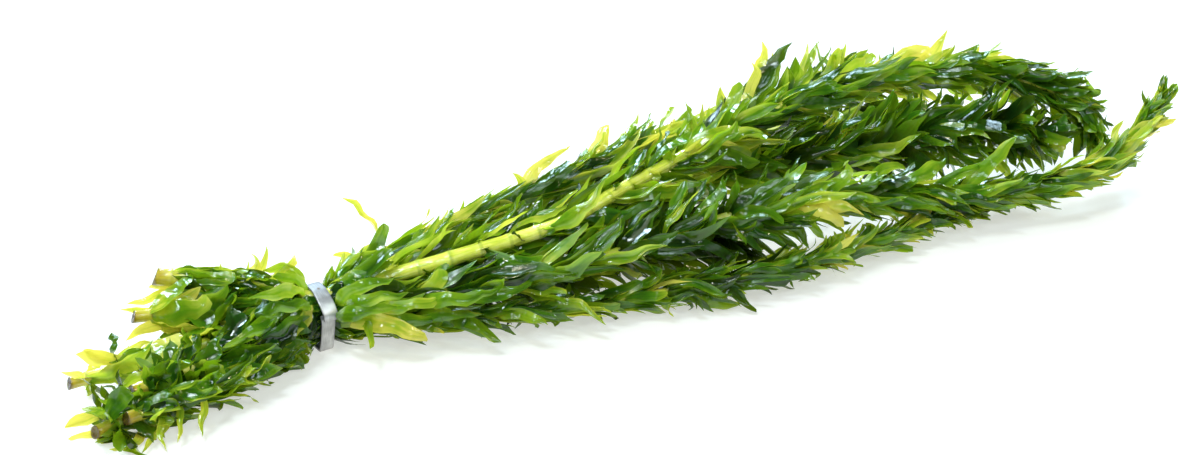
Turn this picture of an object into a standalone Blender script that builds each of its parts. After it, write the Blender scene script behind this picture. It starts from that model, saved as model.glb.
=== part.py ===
"""A tied bunch of Brazilian waterweed, lying on a table.

Seven cut shoots run along +X, from their cut ends at -X to their growing tips.
A strip of soft metal holds them together, and the foot of that strip is the origin.
"""
import math
import random

import bmesh
import bpy
import numpy as np
from mathutils import Matrix, Vector
from mathutils.bvhtree import BVHTree

MM = 0.001

# Shoots: the stem tapers, and its leaf nodes are closer together near the tip
STEM_RADIUS = 1.4 * MM
TIP_RADIUS = 0.8 * MM
LOW_SPACING = 11.4 * MM
TIP_SPACING = 8.2 * MM
CUT_END_TO_NODE = 5 * MM
LAST_NODE_TO_TIP = 5 * MM
BUD_LENGTH = 4 * MM
SEAT_LENGTH = 1.3 * MM
STEP = 0.5 * MM
POINTS_IN_STRETCH = 60

# Leaves: each is a flat pointed blade that sits on one side face of a node.
# Those near the cut ends have been pushed back, and those near the tie are pressed to the stem.
LEAVES_IN_WHORL = 5
LEAF_LENGTH = 19 * MM
TIP_LEAF_LENGTH = 10.5 * MM
LEAF_WIDTH = 4.4 * MM
LEAF_THICKNESS = 0.6 * MM
CURL = 0.12
OPEN_ANGLES = (25, 55)
BACK_ANGLES = (60, 125)
BACK_BEHIND = -34 * MM
PRESSED_WITHIN = 70 * MM
PRESSED_TO = 0.45
TURN = 15
SIZES_TRIED = (1, 0.75)
CLOSED_BY = (0, 8, 16)
TURNED_BY = (0, TURN, -TURN)
REACH_OF_NEIGHBOURS = 2.2 * LEAF_LENGTH
GAP = 0.35 * MM
ABOVE_TABLE = 0.15 * MM
# A leaf's sections: how far along it, its share of the full width, and how thick
LEAF_SECTIONS = ((0, 0.4, SEAT_LENGTH), (0.225, 0.75, LEAF_THICKNESS), (0.45, 1, LEAF_THICKNESS))

# Tie: a flat strip bent round the stems by hand
STRIP_WIDTH = 3.4 * MM
STRIP_THICKNESS = 0.6 * MM

# Points along each stem in mm, from its cut end, through the tie at x = 0, to its tip
ROUTES = {
    "shoot_main": [
        (-30, 21, 17), (-15, 11, 15.5), (0, 1.9, 11.9), (18, -4, 15.5), (30, -8, 18), (54, -12, 21),
        (72, -10, 24), (97, -5, 26), (123, 1, 27), (146, 2, 27), (173, -3, 26.5), (189, -14, 23.5),
        (198, -22, 17.5), (200, -27, 9.5),
    ],
    "shoot_right": [
        (-49, -6, 7), (-24, -6, 9.5), (0, -1.3, 9.5), (24, -11, 12), (50, -20, 15), (72, -23, 16.5),
        (100, -23, 17), (128, -26, 14), (150, -32, 11), (172, -37, 9), (194, -38, 11), (208, -34, 16),
        (217, -31, 21),
    ],
    "shoot_front": [
        (-54, -14, 6), (-26, -12, 6.5), (0, -0.8, 6), (20, -10, 6), (42, -19, 5.5), (66, -26, 5.5),
        (92, -32, 6), (110, -34, 6), (130, -33, 5.5), (150, -30, 5), (168, -31, 5),
    ],
    "shoot_back": [
        (-38, 16, 11.5), (-20, 10, 11), (0, 4.3, 9.6), (23, 9, 12.5), (54, 16, 13), (80, 20, 13),
        (108, 26, 12.5), (135, 31, 11.5), (158, 33, 11), (176, 30, 10.5),
    ],
    "shoot_hook": [
        (-60, -11, 3), (-28, -5, 3.2), (0, 1.4, 3), (24, -3, 4.5), (48, -8, 6.5), (68, -11, 9),
        (82, -13, 11), (91, -16, 10), (97, -20, 6.5), (99, -23, 3),
    ],
    "shoot_upper": [
        (-57, 9, 4), (-27, 4, 7), (0, 1.5, 8.3), (26, 2, 9.5), (52, 2, 10.5), (78, 1, 13),
        (104, 1, 14.5), (130, -7, 16), (156, -11, 16), (178, -18, 15), (190, -26, 13),
    ],
    "shoot_low": [
        (-38, 13, 3.5), (-18, 7.5, 4), (0, 3.9, 5.9), (24, 9, 4.5), (50, 13, 4.5), (84, 20, 4.5),
        (114, 24, 5), (146, 24, 5), (172, 20, 5),
    ],
}
GREENS = {
    "shoot_main": (0.2, 0.36, 0.03),
    "shoot_right": (0.06, 0.2, 0.015),
    "shoot_front": (0.04, 0.16, 0.01),
    "shoot_back": (0.12, 0.28, 0.02),
    "shoot_hook": (0.02, 0.08, 0.015),
    "shoot_upper": (0.08, 0.22, 0.015),
    "shoot_low": (0.04, 0.14, 0.012),
}
# The main stem has lost its leaves over this stretch, on the side that faces this way
BARE_SHOOT = "shoot_main"
BARE_STRETCH = (10 * MM, 92 * MM)
BARE_SIDE = Vector((-0.35, -0.6, 0.7))
FACES_BARE_SIDE = 0.3

# The strip's middle line in the YZ plane in mm: its inner end, its foot, round over the stems and down
# to its outer end, which lies over the inner one
STRIP_LINE = [
    (-3.45, 10), (-3.8, 8.4), (-3.1, 5), (-2.2, 1.2), (-1.4, 0.3), (1.4, 0.3), (4.4, 1.6), (6.4, 4.4),
    (7, 7.8), (6.4, 11), (4.9, 13.4), (3, 14.4), (0.6, 13.9), (-1.9, 12.35), (-3.5, 11.4), (-4.4, 10.3),
    (-4.6, 8.9),
]
STRIP_STEPS = 2


def clear_scene():
    for obj in list(bpy.data.objects):
        bpy.data.objects.remove(obj, do_unlink=True)


def new_material(name, colour, roughness, metallic=0.0):
    material = bpy.data.materials.new(name)
    material.use_nodes = True
    shader = material.node_tree.nodes["Principled BSDF"]
    shader.inputs["Base Color"].default_value = (*colour, 1)
    shader.inputs["Roughness"].default_value = roughness
    shader.inputs["Metallic"].default_value = metallic
    return material


def add_object(name, mesh, material, collection):
    mesh.name = name
    mesh.materials.append(material)
    obj = bpy.data.objects.new(name, mesh)
    collection.objects.link(obj)
    return obj


def mesh_of_curve(curve):
    """The curve's surface as a mesh."""
    obj = bpy.data.objects.new(curve.name, curve)
    bpy.context.scene.collection.objects.link(obj)
    graph = bpy.context.evaluated_depsgraph_get()
    mesh = bpy.data.meshes.new_from_object(obj.evaluated_get(graph))
    bpy.data.objects.remove(obj, do_unlink=True)
    return mesh


def smooth_path(route):
    """Points a step apart on the curve that passes smoothly through the route's own points."""
    points = np.array(route, float) * MM
    points = np.vstack([2 * points[0] - points[1], points, 2 * points[-1] - points[-2]])
    t = np.linspace(0, 1, POINTS_IN_STRETCH, endpoint=False)[:, None]
    pieces = [
        b + (c - a) * t / 2 + (2 * a - 5 * b + 4 * c - d) * t**2 / 2 + (3 * b - a - 3 * c + d) * t**3 / 2
        for a, b, c, d in zip(points, points[1:], points[2:], points[3:])
    ]
    path = np.vstack([*pieces, points[-2]])
    along = np.concatenate([[0], np.cumsum(np.linalg.norm(np.diff(path, axis=0), axis=1))])
    stations = np.arange(0, along[-1], STEP)
    return np.stack([np.interp(stations, along, path[:, i]) for i in range(3)], axis=1)


def node_shares(length):
    """Where the leaf nodes are, as shares of the stem's length from its cut end."""
    station = CUT_END_TO_NODE
    shares = []
    while station < length - LAST_NODE_TO_TIP:
        shares.append(station / length)
        station += LOW_SPACING + (TIP_SPACING - LOW_SPACING) * shares[-1]
    return shares


def grow_stem(name, path, shares):
    """A tapering tube along the path, with two close rings at each node and a bud at its tip."""
    curve = bpy.data.curves.new(name, "CURVE")
    curve.dimensions = "3D"
    curve.bevel_depth = STEM_RADIUS
    curve.bevel_resolution = 1
    curve.use_fill_caps = True
    half_seat = SEAT_LENGTH / 2 / (len(path) * STEP)
    rings = [0, *(share + side for share in shares for side in (-half_seat, half_seat)), 1]
    spline = curve.splines.new("POLY")
    spline.points.add(len(rings) - 1)
    for point, share in zip(spline.points, rings):
        point.co = (*path[round(share * (len(path) - 1))], 1)
        point.radius = 1 + (TIP_RADIUS / STEM_RADIUS - 1) * share
    bm = bmesh.new()
    bm.from_mesh(mesh_of_curve(curve))
    bmesh.ops.remove_doubles(bm, verts=bm.verts, dist=0.01 * MM)
    end = Vector(path[-1])
    cap = min(bm.faces, key=lambda face: (face.calc_center_median() - end).length)
    bud = bmesh.ops.poke(bm, faces=[cap])["verts"][0]
    bud.co = end + Vector(path[-1] - path[-3]).normalized() * BUD_LENGTH
    return bm


def blade(root, along, out, angle, length, spare):
    """The corners of a leaf's sections, from its root to where it is widest, and its tip.

    The leaf leaves the stem at an angle from it, and its tip curls back.
    Whatever would go through the table lies along it.
    """
    side = along.cross(out)
    reach = along * math.cos(angle) + out * math.sin(angle)
    upper = along * math.sin(angle) - out * math.cos(angle)
    sections = []
    for share, fullness, thickness in LEAF_SECTIONS:
        width = fullness * LEAF_WIDTH
        centre = root + reach * length * share
        centre.z = max(centre.z, thickness / 2 + ABOVE_TABLE)
        corners = [
            centre + side * (width / 2 + spare) * across + upper * (thickness / 2 + spare) * through
            for across, through in ((-1, -1), (1, -1), (1, 1), (-1, 1))
        ]
        for corner in corners:
            corner.z = max(corner.z, ABOVE_TABLE)
        sections.append(corners)
    tip = root + reach * (length + spare) - upper * CURL * length
    tip.z = max(tip.z, ABOVE_TABLE)
    return sections, tip


def tree_of(sections, tip):
    """The closed form through the sections to the tip, ready to be tested for touching."""
    points = [corner for section in sections for corner in section] + [tip]
    last = len(points) - 5
    faces = [
        (j + i, j + (i + 1) % 4, j + 4 + (i + 1) % 4, j + 4 + i) for j in range(0, last, 4) for i in range(4)
    ]
    faces += [(last + i, last + (i + 1) % 4, last + 4) for i in range(4)]
    faces.append((3, 2, 1, 0))
    return BVHTree.FromPolygons(points, faces)


def draw_out(bm, seat, along, side, corners, tip):
    """Extrudes a side face of the stem to the leaf's widest section, and pokes that out to the tip."""
    centre = seat.calc_center_median()
    face = bmesh.ops.extrude_discrete_faces(bm, faces=[seat])["faces"][0]
    for vert in face.verts:
        offset = vert.co - centre
        order = (0, 1) if offset.dot(along) < 0 else (3, 2)
        vert.co = corners[order[offset.dot(side) > 0]]
    point = bmesh.ops.poke(bm, faces=[face])["verts"][0]
    point.co = tip


def grow_whorl(bm, shoot, node, along, share, taken, stems, chance):
    """Leaves on the side faces of one node, each as far open as it can be while clear of all else."""
    seats = [
        face for face in bm.faces
        if len(face.verts) == 4 and (face.calc_center_median() - node).length < STEM_RADIUS + GAP
    ]
    chance.shuffle(seats)
    length = LEAF_LENGTH + (TIP_LEAF_LENGTH - LEAF_LENGTH) * share
    elsewhere = [
        tree for tree, where, _ in taken if (where - node).length < REACH_OF_NEIGHBOURS
    ] + [tree for name, tree in stems.items() if name != shoot]
    here = [stems[shoot]]
    for seat in seats:
        if len(here) > LEAVES_IN_WHORL:
            break
        root = seat.calc_center_median()
        straight_out = (root - node - along * (root - node).dot(along)).normalized()
        bare = shoot == BARE_SHOOT and BARE_STRETCH[0] < node.x < BARE_STRETCH[1]
        if bare and straight_out.dot(BARE_SIDE) > FACES_BARE_SIDE:
            continue
        if node.x < BACK_BEHIND:
            widest = chance.uniform(*BACK_ANGLES)
        else:
            free = min(1, PRESSED_TO + (1 - PRESSED_TO) * abs(node.x) / PRESSED_WITHIN)
            widest = chance.uniform(*OPEN_ANGLES) * free
        turned = chance.uniform(-TURN, TURN)
        for size, angle, turn in [
            (size, widest - less, turned + more)
            for size in SIZES_TRIED for less in CLOSED_BY for more in TURNED_BY
        ]:
            out = Matrix.Rotation(math.radians(turn), 3, along) @ straight_out
            aim = (root, along, out, math.radians(angle), length * size)
            sections, tip = blade(*aim, GAP)
            if any(tree_of(sections, tip).overlap(other) for other in elsewhere):
                continue
            if any(tree_of(sections[1:], tip).overlap(other) for other in here):
                continue
            sections, tip = blade(*aim, 0)
            draw_out(bm, seat, along, along.cross(out), sections[-1], tip)
            here.append(tree_of(sections, tip))
            taken.append((here[-1], tip, shoot))
            break


def bend_strip(collection):
    """The tie: a ribbon along its bent line in the YZ plane, with its thickness given by Solidify."""
    curve = bpy.data.curves.new("tie_strip", "CURVE")
    curve.dimensions = "3D"
    curve.extrude = STRIP_WIDTH / 2
    curve.resolution_u = STRIP_STEPS
    spline = curve.splines.new("BEZIER")
    spline.bezier_points.add(len(STRIP_LINE) - 1)
    for point, (y, z) in zip(spline.bezier_points, STRIP_LINE):
        point.co = (y * MM, z * MM, 0)
        on_foot = z * MM < STRIP_THICKNESS
        point.handle_left_type = point.handle_right_type = "VECTOR" if on_foot else "AUTO"
    mesh = mesh_of_curve(curve)
    soft_metal = new_material("soft_grey_metal", (0.55, 0.56, 0.58), 0.35, metallic=1.0)
    strip = add_object("tie_strip", mesh, soft_metal, collection)
    strip.rotation_euler = (math.radians(90), 0, math.radians(90))
    solidify = strip.modifiers.new("thickness", "SOLIDIFY")
    solidify.thickness = STRIP_THICKNESS
    solidify.offset = 0
    return strip


def main():
    clear_scene()
    collection = bpy.data.collections.new("brazilian_waterweed")
    bpy.context.scene.collection.children.link(collection)
    strip = bend_strip(collection)
    bpy.context.view_layer.update()
    graph = bpy.context.evaluated_depsgraph_get()
    strip_form = bmesh.new()
    strip_form.from_object(strip, graph)
    strip_form.transform(strip.matrix_world)

    chance = random.Random(11)
    paths = {name: smooth_path(route) for name, route in ROUTES.items()}
    shares = {name: node_shares(len(path) * STEP) for name, path in paths.items()}
    bodies = {name: grow_stem(name, path, shares[name]) for name, path in paths.items()}
    stems = {name: BVHTree.FromBMesh(bm) for name, bm in bodies.items()}
    stems["tie_strip"] = BVHTree.FromBMesh(strip_form)
    taken = []
    for number in range(max(map(len, shares.values()))):
        for name, bm in bodies.items():
            if number >= len(shares[name]):
                continue
            share = shares[name][number]
            path = paths[name]
            at = round(share * (len(path) - 1))
            along = Vector(path[at + 1] - path[at - 1]).normalized()
            grow_whorl(bm, name, Vector(path[at]), along, share, taken, stems, chance)
    for name, bm in bodies.items():
        bmesh.ops.recalc_face_normals(bm, faces=bm.faces)
        mesh = bpy.data.meshes.new(name)
        bm.to_mesh(mesh)
        bm.free()
        add_object(name, mesh, new_material("green_of_" + name, GREENS[name], 0.25), collection)


main()
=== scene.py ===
import math
from collections import namedtuple

import bpy
import numpy as np
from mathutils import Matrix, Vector


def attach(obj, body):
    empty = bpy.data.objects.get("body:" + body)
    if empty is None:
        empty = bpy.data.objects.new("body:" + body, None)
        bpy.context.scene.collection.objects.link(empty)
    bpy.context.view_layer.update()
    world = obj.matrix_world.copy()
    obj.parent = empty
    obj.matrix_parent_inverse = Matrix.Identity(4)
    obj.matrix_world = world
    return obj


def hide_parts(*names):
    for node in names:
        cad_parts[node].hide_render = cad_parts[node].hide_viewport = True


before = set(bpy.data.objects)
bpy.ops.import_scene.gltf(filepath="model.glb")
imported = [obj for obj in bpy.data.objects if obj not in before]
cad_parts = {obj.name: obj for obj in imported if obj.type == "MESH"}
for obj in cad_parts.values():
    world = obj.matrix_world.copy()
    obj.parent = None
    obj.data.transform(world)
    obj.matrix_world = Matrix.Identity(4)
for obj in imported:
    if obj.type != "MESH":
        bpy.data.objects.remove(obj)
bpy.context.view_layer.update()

# The camera stands at the cut ends' side and looks down on the bunch. It comes first, because some of
# the leaves are placed by where it sees them.
MM = 0.001
PICTURE = np.array([1200, 455])
VIEW_AZIMUTH = math.radians(-32)
VIEW_ELEVATION = math.radians(28)
VIEW_MIDDLE = np.array([67.7, -8.5, 15]) * MM
VIEW_DISTANCE = 744.5 * MM
LENS = 97.6
SENSOR = 36
FOCAL_PIXELS = PICTURE[0] * LENS / SENSOR
view_ahead = -np.array([
    math.sin(VIEW_AZIMUTH) * math.cos(VIEW_ELEVATION),
    -math.cos(VIEW_AZIMUTH) * math.cos(VIEW_ELEVATION),
    math.sin(VIEW_ELEVATION),
])
view_right = np.array([math.cos(VIEW_AZIMUTH), math.sin(VIEW_AZIMUTH), 0])
view_up = np.cross(view_right, view_ahead)
view_from = VIEW_MIDDLE - view_ahead * VIEW_DISTANCE
camera = bpy.data.objects.new("camera", bpy.data.cameras.new("camera"))
camera.data.lens = LENS
camera.data.sensor_width = SENSOR
camera.data.clip_start = 10 * MM
camera.location = view_from
camera.rotation_euler = Vector(view_ahead).to_track_quat("-Z", "Y").to_euler()
bpy.context.scene.collection.objects.link(camera)
bpy.context.scene.camera = camera
bpy.context.scene.view_settings.view_transform = "Standard"

# The stems. Seven cut shoots, each a soft round green stem about 2.8 mm thick that thins to its bud.
# They were cut with a knife at the left, are held together by the tie at x = 0, and fan out from it.
# A slight swelling marks each whorl, and where leaves came off it keeps short torn stubs.
STEM_RADIUS = 1.4 * MM
TIP_RADIUS = 0.7 * MM
LINE_STEP = 0.5 * MM
ROUTES = {
    "main": [
        (-30, 21, 17), (-15, 11, 15.5), (0, 1.9, 11.9), (18, -4, 15.5), (30, -8, 18), (54, -12, 21),
        (72, -10, 24), (97, -5, 26), (123, 1, 27), (146, 2, 27), (173, -3, 26.5), (189, -14, 23.5),
        (198, -22, 17.5), (200, -27, 9.5),
    ],
    "right": [
        (-49, -6, 7), (-24, -6, 9.5), (0, -1.3, 9.5), (24, -11, 12), (50, -20, 15), (72, -23, 16.5),
        (100, -23, 17), (128, -26, 14), (150, -32, 11), (172, -37, 9), (194, -38, 11), (208, -34, 16),
        (217, -31, 21),
    ],
    "front": [
        (-54, -14, 6), (-26, -12, 6.5), (0, -0.8, 6), (20, -10, 6), (42, -19, 5.5), (66, -26, 5.5),
        (92, -32, 6), (110, -34, 6), (130, -33, 5.5), (150, -30, 5), (168, -31, 5),
    ],
    "back": [
        (-38, 16, 11.5), (-20, 10, 11), (0, 4.3, 9.6), (23, 9, 12.5), (54, 16, 13), (80, 20, 13),
        (108, 26, 12.5), (135, 31, 11.5), (158, 33, 11), (176, 30, 10.5),
    ],
    "hook": [
        (-60, -11, 3), (-28, -5, 3.2), (0, 1.4, 3), (24, -3, 4.5), (48, -8, 6.5), (68, -11, 9),
        (82, -13, 11), (91, -16, 10), (97, -20, 6.5), (99, -23, 3),
    ],
    "upper": [
        (-57, 9, 4), (-27, 4, 7), (0, 1.5, 8.3), (26, 2, 9.5), (52, 2, 10.5), (78, 1, 13),
        (104, 1, 14.5), (130, -7, 16), (156, -11, 16), (178, -18, 15), (190, -26, 13),
    ],
    "low": [
        (-38, 13, 3.5), (-18, 7.5, 4), (0, 3.9, 5.9), (24, 9, 4.5), (50, 13, 4.5), (84, 20, 4.5),
        (114, 24, 5), (146, 24, 5), (172, 20, 5),
    ],
}
# Distance from one whorl to the next behind the tie, just beyond it, and near the bud
TAIL_SPACING = 5.5 * MM
LOW_SPACING = 8.2 * MM
TIP_SPACING = 2.2 * MM
# Where along X the short spacing ends, and the power by which whorls crowd towards the bud beyond it
TAIL_END = -4 * MM
CROWDING = 1.3
# The first whorl's distance from the cut, and how many points are worked out on a stretch of a curve
FIRST_NODE = 4 * MM
CURVE_POINTS = 60
chance = np.random.default_rng(7)


def smooth_line(route):
    """Points a step apart on the curve that passes through the route's points, each stretch a cubic
    whose slope at a point is half the way from the point before it to the point after it."""
    points = np.array(route, float) * MM
    points = np.vstack([2 * points[0] - points[1], points, 2 * points[-1] - points[-2]])
    t = np.linspace(0, 1, CURVE_POINTS, endpoint=False)[:, None]
    stretches = [
        b + (c - a) * t / 2 + (2 * a - 5 * b + 4 * c - d) * t**2 / 2 + (3 * b - a - 3 * c + d) * t**3 / 2
        for a, b, c, d in zip(points, points[1:], points[2:], points[3:])
    ]
    line = np.vstack([*stretches, points[-2]])
    along = np.concatenate([[0], np.cumsum(np.linalg.norm(np.diff(line, axis=0), axis=1))])
    stations = np.arange(0, along[-1], LINE_STEP)
    return np.stack([np.interp(stations, along, line[:, i]) for i in range(3)], axis=1)


def unit(vectors):
    """Each vector divided by its own length."""
    return vectors / np.linalg.norm(vectors, axis=-1, keepdims=True)


def frames_of(line):
    """The directions along a line, to its side and up from it, at each of its points."""
    along = unit(np.gradient(line, axis=0))
    side = unit(np.cross([0, 0, 1], along))
    return along, side, np.cross(along, side)


def whorl_stations(line):
    """Distances of the whorls from the cut end: evenly close behind the tie, and beyond it closer and
    closer, by a power of the share of the length, towards the bud."""
    length = len(line) * LINE_STEP
    stations = [FIRST_NODE]
    while stations[-1] < length - 2 * TIP_SPACING:
        share = stations[-1] / length
        spacing = LOW_SPACING + (TIP_SPACING - LOW_SPACING) * share**CROWDING
        if line[int(stations[-1] / LINE_STEP), 0] < TAIL_END:
            spacing = TAIL_SPACING
        stations.append(stations[-1] + spacing)
    return np.array(stations)


def grid_faces(rows, columns, closed):
    """Four-sided faces of a grid whose rows follow each other, its columns joined in a ring if closed."""
    firsts = np.arange(columns if closed else columns - 1)
    row, column = np.meshgrid(np.arange(rows - 1), firsts, indexing="ij")
    a, b = row * columns + column, row * columns + (column + 1) % columns
    return np.stack([a, b, b + columns, a + columns], -1).reshape(-1, 4)


def tube_faces(rows, columns):
    """The faces of a closed tube: its grid, and one many-sided face over each of its ends."""
    first = np.arange(columns)[None]
    return [grid_faces(rows, columns, True), first[:, ::-1], first + (rows - 1) * columns]


def build_mesh(name, parts):
    """One smooth mesh of several parts, each with its points, its faces, its points' places on the skin
    and the numbers that they store, 0 where it has none. A part's place here is its material's too."""
    points = np.vstack([part["points"] for part in parts])
    faces, kinds, shift = [], [], 0
    for place, part in enumerate(parts):
        for block in part["faces"]:
            faces += (block + shift).tolist()
            kinds += [place] * len(block)
        shift += len(part["points"])
    mesh = bpy.data.meshes.new(name)
    mesh.from_pydata(points.tolist(), [], faces)
    mesh.polygons.foreach_set("material_index", np.array(kinds, np.int32))
    mesh.polygons.foreach_set("use_smooth", np.ones(len(faces), bool))
    for title in ("tint", "from_cut", "at_node"):
        values = [np.broadcast_to(part.get(title, 0.0), len(part["points"])) for part in parts]
        stored = mesh.attributes.new(title, "FLOAT", "POINT")
        stored.data.foreach_set("value", np.concatenate(values).astype(np.float32))
    corners = np.empty(len(mesh.loops), np.int32)
    mesh.loops.foreach_get("vertex_index", corners)
    skin = np.vstack([part["skin"] for part in parts])
    mesh.uv_layers.new(name="skin").uv.foreach_set("vector", skin[corners].ravel().astype(np.float32))
    return mesh


class Field:
    """A value or colour over a surface. Sums and products of fields add Math nodes to the material."""

    def __init__(self, tree, socket=None):
        self.tree, self.socket = tree, socket

    def node(self, kind, settings, inputs, output=0):
        """Any node: its type, its settings, and the values or fields that go into its sockets."""
        made = self.tree.nodes.new("ShaderNode" + kind)
        for name, value in settings.items():
            setattr(made, name, value)
        for name, value in inputs.items():
            if isinstance(value, Field):
                self.tree.links.new(value.socket, made.inputs[name])
            else:
                made.inputs[name].default_value = value
        return None if output is None else Field(self.tree, made.outputs[output])

    def math(self, operation, first, second=0.0):
        """What a Math node makes of one or two fields or numbers."""
        return self.node("Math", {"operation": operation}, {0: first, 1: second})

    def mix(self, factor, first, second):
        """The first colour where the factor is 0 and the second where it is 1."""
        return self.node("Mix", {"data_type": "RGBA"}, {0: factor, 6: first, 7: second}, 2)

    def stored(self, name):
        """The number that the surface's points store under this name."""
        return self.node("Attribute", {"attribute_name": name}, {}, "Fac")

    def noise(self, scale, detail):
        """Cloudy chance between 0 and 1 over these coordinates."""
        return self.node("TexNoise", {}, {"Vector": self, "Scale": scale, "Detail": detail}, "Fac")

    def stretched_noise(self, across, along, detail):
        """The same with its own scale across and along the skin's map."""
        stretched = self.node("Mapping", {}, {"Vector": self, "Scale": (across, along, 1)})
        return stretched.noise(1, detail)

    def between(self, begin, finish, low=0.0, high=1.0):
        """Changes evenly from low, where this field is at begin, to high, where it is at finish."""
        return self.node("MapRange", {}, {
            "Value": self, "From Min": begin, "From Max": finish, "To Min": low, "To Max": high,
        })

    def coloured(self, stops):
        """The colour that this field has on a ramp, given as places with their colours."""
        colour = self.node("ValToRGB", {}, {"Fac": self})
        elements = colour.socket.node.color_ramp.elements
        while len(elements) < len(stops):
            elements.new(0.5)
        for element, (place, shade) in zip(elements, stops):
            element.position = place
            element.color = (*shade, 1)
        return colour

    def relief(self, strength, distance):
        """The surface's normal, tilted as if this field were its height."""
        return self.node("Bump", {}, {"Height": self, "Strength": strength, "Distance": distance})

    def __add__(self, other):
        return self.math("ADD", self, other)

    def __sub__(self, other):
        return self.math("SUBTRACT", self, other)

    def __rsub__(self, other):
        return self.math("SUBTRACT", other, self)

    def __mul__(self, other):
        return self.math("MULTIPLY", self, other)

    __radd__, __rmul__ = __add__, __mul__


def new_material(name):
    """An empty material, and the field that its nodes are made from."""
    material = bpy.data.materials.new(name)
    material.use_nodes = True
    material.node_tree.nodes.clear()
    return material, Field(material.node_tree)


RING_POINTS = 14
NODE_SWELLING = 0.1
NODE_LENGTH = 0.7 * MM
BUD_ROUNDING = 4 * MM
# Five low ridges run along a stem and wind round it
RIDGES = 5
RIDGE_HEIGHT = 0.03
RIDGE_WINDING = 9 * np.pi
# The main shoot's stem is a little thicker than the others
MAIN_SIZE = 1.4
# The knife went through at a slant and left a little hollow: its rings by their size and depth in mm
CUT_SLANT = 0.35
CUT_RINGS = ((0.05, 0.3), (0.7, 0.15))
# One unit of the skin's map along the stem
SKIN_UNIT = 10 * MM


def grow_stem(line, stations, size):
    """A tube along the line: its radius falls evenly from cut end to bud, and swells by a bell-shaped
    bump at each node. Two smaller rings lead to the face that closes the cut. The bud is rounded by the
    square root of the distance that is left, and closed by another face."""
    along, side, up = frames_of(line)
    length = len(line) * LINE_STEP
    distance = np.arange(len(line)) * LINE_STEP
    share = distance / length
    at_node = np.exp(-((np.abs(distance[:, None] - stations).min(axis=1) / NODE_LENGTH) ** 2))
    radius = size * (STEM_RADIUS + (TIP_RADIUS - STEM_RADIUS) * share) * (1 + NODE_SWELLING * at_node)
    radius *= 0.02 + 0.98 * np.sqrt(np.clip((length - distance) / BUD_ROUNDING, 0, 1))
    turn = np.linspace(0, 2 * np.pi, RING_POINTS, endpoint=False)
    ridged = radius[:, None] * (1 + RIDGE_HEIGHT * np.sin(RIDGES * turn + RIDGE_WINDING * share[:, None]))
    spokes = np.cos(turn)[:, None] * side[:, None] + np.sin(turn)[:, None] * up[:, None]
    rings = line[:, None] + ridged[..., None] * spokes
    rings[0] += along[0] * ((rings[0] - line[0]) @ up[0])[:, None] * CUT_SLANT
    inner = [line[0] + (rings[0] - line[0]) * part + along[0] * depth * MM for part, depth in CUT_RINGS]
    rows = len(line) + len(inner)
    turns = np.tile(np.arange(RING_POINTS) / RING_POINTS, rows)
    run = np.repeat(np.concatenate([[0, 0], distance]), RING_POINTS)
    return {
        "points": np.vstack([*inner, rings.reshape(-1, 3)]),
        "faces": [block[:, ::-1] for block in tube_faces(rows, RING_POINTS)],
        "skin": np.stack([turns, run / SKIN_UNIT], axis=1),
        "from_cut": run / MM,
        "at_node": np.repeat(np.concatenate([[0, 0], at_node]), RING_POINTS),
    }


# The skin's colours along its fine lines, then at the nodes, near the cut and on the cut itself
SKIN_GREENS = [(0.3, (0.42, 0.52, 0.025)), (0.5, (0.72, 0.77, 0.09)), (0.68, (0.90, 0.90, 0.28))]
NODE_GREEN = (0.13, 0.25, 0.012, 1)
CUT_AMBER = (0.40, 0.24, 0.015, 1)
CUT_BROWN = (0.06, 0.03, 0.008, 1)
# Distances from the cut in mm between which the amber and the brown fade out
AMBER_FADES = (2.2, 9)
BROWN_FADES = (0.4, 1.2)


def stem_material():
    """Pale yellow-green with fine lines lengthwise, darker at the nodes, amber to brown at the cut."""
    material, paint = new_material("stem_skin")
    place = paint.node("TexCoord", {}, {}, "Object")
    skin_place = paint.node("UVMap", {"uv_map": "skin"}, {}, "UV")
    from_cut = paint.stored("from_cut")
    lines = skin_place.stretched_noise(22, 1.1, 3)
    blotches = place.noise(260, 4)
    skin = (lines * 0.6 + blotches * 0.4).coloured(SKIN_GREENS)
    skin = paint.mix(paint.stored("at_node").between(0.5, 1) * blotches, skin, NODE_GREEN)
    amber = (from_cut + blotches * 4).between(*AMBER_FADES, 1, 0)
    skin = paint.mix(amber * 0.85, skin, CUT_AMBER)
    brown = (from_cut + blotches * 0.8).between(*BROWN_FADES, 1, 0)
    skin = paint.mix(brown, skin, CUT_BROWN)
    shader = paint.node("BsdfPrincipled", {}, {
        "Base Color": skin, "Roughness": 0.14, "Specular IOR Level": 0.7,
        "Normal": (lines * 0.4 + blotches * 0.6).relief(0.6, 0.4 * MM),
        "Subsurface Weight": 0.5, "Subsurface Radius": (1.0, 1.1, 0.3), "Subsurface Scale": 1.5 * MM,
    })
    paint.node("OutputMaterial", {}, {"Surface": shader}, None)
    return material


lines_of = {name: smooth_line(route) for name, route in ROUTES.items()}
whorls_of = {name: whorl_stations(line) for name, line in lines_of.items()}
stem_skin = stem_material()

# The leaves. They grow straight from the stem in whorls, thin as wet paper, mostly 10 to 19 mm long and
# about 4 mm wide, pointed, with a shallow gutter. Out of the water they cling together in layers, swept
# towards the bud, and only those at the edge of the bunch stand free.
LEAF_ROWS = 14
LEAF_COLUMNS = 5
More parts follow.
